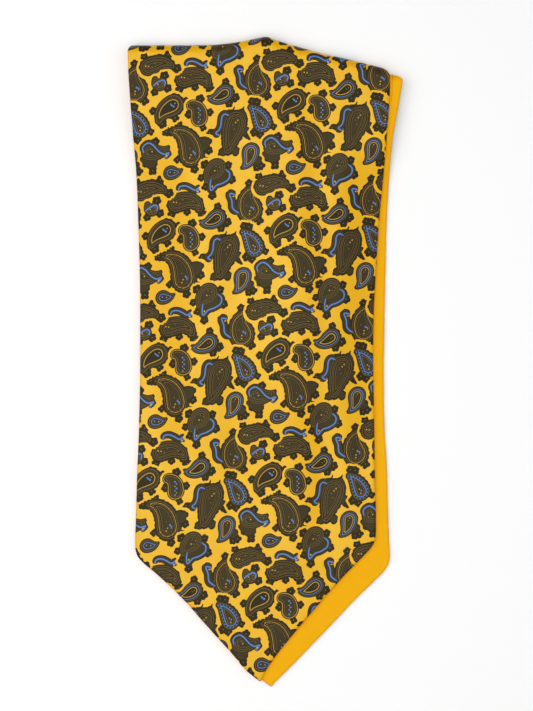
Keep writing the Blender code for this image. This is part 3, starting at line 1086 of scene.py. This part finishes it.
# Name, colour, roughness, gloss, sheen, weave
FINISHES = (
    ("silk_ground", (226, 168, 6), 0.22, 0.5, 0.0, PRINT_WEAVE),
    ("silk_ink", (58, 47, 33), 0.36, 0.13, 0.02, PRINT_WEAVE),
    ("silk_line", (44, 35, 24), 0.36, 0.11, 0.02, PRINT_WEAVE),
    ("silk_blue", (82, 126, 196), 0.4, 0.2, 0.02, PRINT_WEAVE),
    ("silk_pale", (186, 146, 62), 0.4, 0.2, 0.02, PRINT_WEAVE),
    ("silk_bronze", (118, 94, 58), 0.4, 0.14, 0.02, PRINT_WEAVE),
    ("plain_gold", (239, 172, 3), 0.4, 0.16, 0.02, (420.0, 0.0, 0.16)),
    ("thread", (176, 112, 10), 0.5, 0.1, 0.0, (900.0, 45.0, 0.02)),
)


def srgb(levels):
    """Scene colour of a screen colour in levels from 0 to 255."""
    return tuple(((v / 255 + 0.055) / 1.055) ** 2.4 if v > 10 else v / 255 / 12.92 for v in levels) + (1.0,)


def silk_material(name, colour, roughness, gloss, sheen, weave):
    """Silk: a constant dye, a fine weave and slubs as bump, and a soft lustre."""
    scale, turn, depth = weave
    material = bpy.data.materials.new(name)
    material.use_nodes = True
    nodes, links = material.node_tree.nodes, material.node_tree.links

    def added(first, *others):
        for other in others:
            total = nodes.new("ShaderNodeMath")
            total.operation = "ADD"
            links.new(first, total.inputs[0])
            links.new(other, total.inputs[1])
            first = total.outputs[0]
        return first

    shader = nodes["Principled BSDF"]
    put(shader, {"Base Color": srgb(colour), "Roughness": roughness})
    put(shader, {"Specular IOR Level": gloss, "Specular Tint": TINT})
    put(shader, {"Sheen Weight": sheen, "Sheen Roughness": 0.4})
    where = nodes.new("ShaderNodeTexCoord")
    turned = nodes.new("ShaderNodeMapping")
    put(turned, {"Rotation": (0, 0, math.radians(turn))})
    links.new(where.outputs["Object"], turned.inputs["Vector"])
    heights = []
    for direction in ("X", "Y"):
        wave = nodes.new("ShaderNodeTexWave")
        wave.wave_type = "BANDS"
        wave.bands_direction = direction
        put(wave, {"Scale": scale, "Distortion": 0.6, "Detail": 1.0})
        links.new(turned.outputs["Vector"], wave.inputs["Vector"])
        heights.append(wave.outputs["Fac"])
    slub = nodes.new("ShaderNodeTexNoise")
    put(slub, {"Scale": 1200.0, "Detail": 3.0})
    links.new(where.outputs["Object"], slub.inputs["Vector"])
    bump = nodes.new("ShaderNodeBump")
    put(bump, {"Strength": 0.35, "Distance": depth * MM})
    links.new(added(*heights, slub.outputs["Fac"]), bump.inputs["Height"])
    links.new(bump.outputs["Normal"], shader.inputs["Normal"])
    return material


# The pieces

silk = [silk_material(*row) for row in FINISHES]
print_dyes = silk[:6]
gold, thread = silk[6:]
ROLLS = (0.25, 0.7, 1.2, 1.8)  # depths inside a blade's edge at which its roll has points

front_loop, rear_loop = outline(FRONT_ROWS, FRONT_CORNER), outline(REAR_ROWS, REAR_CORNER)
turns = fold_lines()
front_rolls, rear_rolls = inset_loops(front_loop, ROLLS), inset_loops(rear_loop, ROLLS)
front_print = printed(front_loop, front_rolls + turns, CELL_ORIGIN)
rear_print = printed(rear_loop, rear_rolls + turns, REAR_ORIGIN, True)
front_plain, rear_plain = plain(front_loop, front_rolls), plain(rear_loop, rear_rolls)

front = blade_shell("front_face_silk", "front", True, front_print, front_loop, print_dyes, "printed_silk")
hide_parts("front_face")
backing = blade_shell("front_backing_silk", "front", False, front_plain, front_loop, [gold], "plain_silk")
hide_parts("front_backing")
rear_up = blade_shell("rear_backing_silk", "rear", True, rear_plain, rear_loop, [gold], "plain_silk")
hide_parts("rear_backing")
rear_down = blade_shell("rear_face_silk", "rear", False, rear_print, rear_loop, print_dyes, "printed_silk")
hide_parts("rear_face")
neck = closed_mesh("neckband_silk", *through(neck_rings()), print_dyes[:1], "printed_silk")
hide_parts("folded_neck")
neck_under = neck_shell("neckband_lower_silk", print_dyes, "printed_silk")
stitches = closed_mesh("corner_stitches", *stitch_row(), [thread], "plain_silk")


def flat_size(loop):
    """Width, length and area of a flat piece, in metres."""
    ahead = np.roll(loop, -1, axis=0)
    area = abs((loop[:, 0] * ahead[:, 1] - ahead[:, 0] * loop[:, 1]).sum()) / 2
    return tuple(float(s) * MM for s in np.ptp(loop, axis=0)), float(area) * MM * MM


flat, area = flat_size(front_loop)
flat, area = flat_size(rear_loop)
flat, area = flat_size(neck_loop())

# Floor, light and camera, in metres

FLOOR_HALF = 4.0
FLOOR_TOP = -0.0002
floor_material = bpy.data.materials.new("floor")
floor_material.use_nodes = True
floor_shader = floor_material.node_tree.nodes["Principled BSDF"]
put(floor_shader, {"Base Color": (0.95, 0.95, 0.95, 1), "Roughness": 0.9})
floor_mesh = bpy.data.meshes.new("floor")
corners = [(i * FLOOR_HALF, j * FLOOR_HALF, FLOOR_TOP) for i, j in ((-1, -1), (1, -1), (1, 1), (-1, 1))]
floor_mesh.from_pydata(corners, [], [(0, 1, 2, 3)])
floor_mesh.materials.append(floor_material)
floor = shown("floor", floor_mesh)

# Name, place, aim, size, power
LIGHTS = (
    ("overhead", (-0.045, 0.044, 1.5), (-0.045, 0.044, 0), (0.15, 0.6), 3.6),
    ("window", (-0.6, 0.0, 1.1), (0, 0, 0), (1.5, 1.6), 12.5),
    ("fill", (0.8, -0.1, 1.2), (0, 0, 0), (1.5, 1.6), 6.5),
)
for name, lamp_at, aim, size, power in LIGHTS:
    light = bpy.data.lights.new(name, "AREA")
    light.shape = "RECTANGLE"
    light.size, light.size_y = size
    light.energy = power
    lamp = shown(name, light)
    lamp.location = lamp_at
    lamp.rotation_euler = (Vector(aim) - Vector(lamp_at)).to_track_quat("-Z", "Y").to_euler()

world = bpy.data.worlds.new("studio")
world.use_nodes = True
put(world.node_tree.nodes["Background"], {"Color": (1, 1, 1, 1), "Strength": 0.25})
bpy.context.scene.world = world

# It looks straight down, as in the photo
camera_data = bpy.data.cameras.new("camera")
camera_data.lens = 100
camera_data.sensor_width = 36
camera_data.dof.use_dof = False
camera = shown("camera", camera_data)
camera.location = (0.00073, 0.00443, 1.259)
bpy.context.scene.camera = camera
bpy.context.scene.view_settings.view_transform = "Standard"
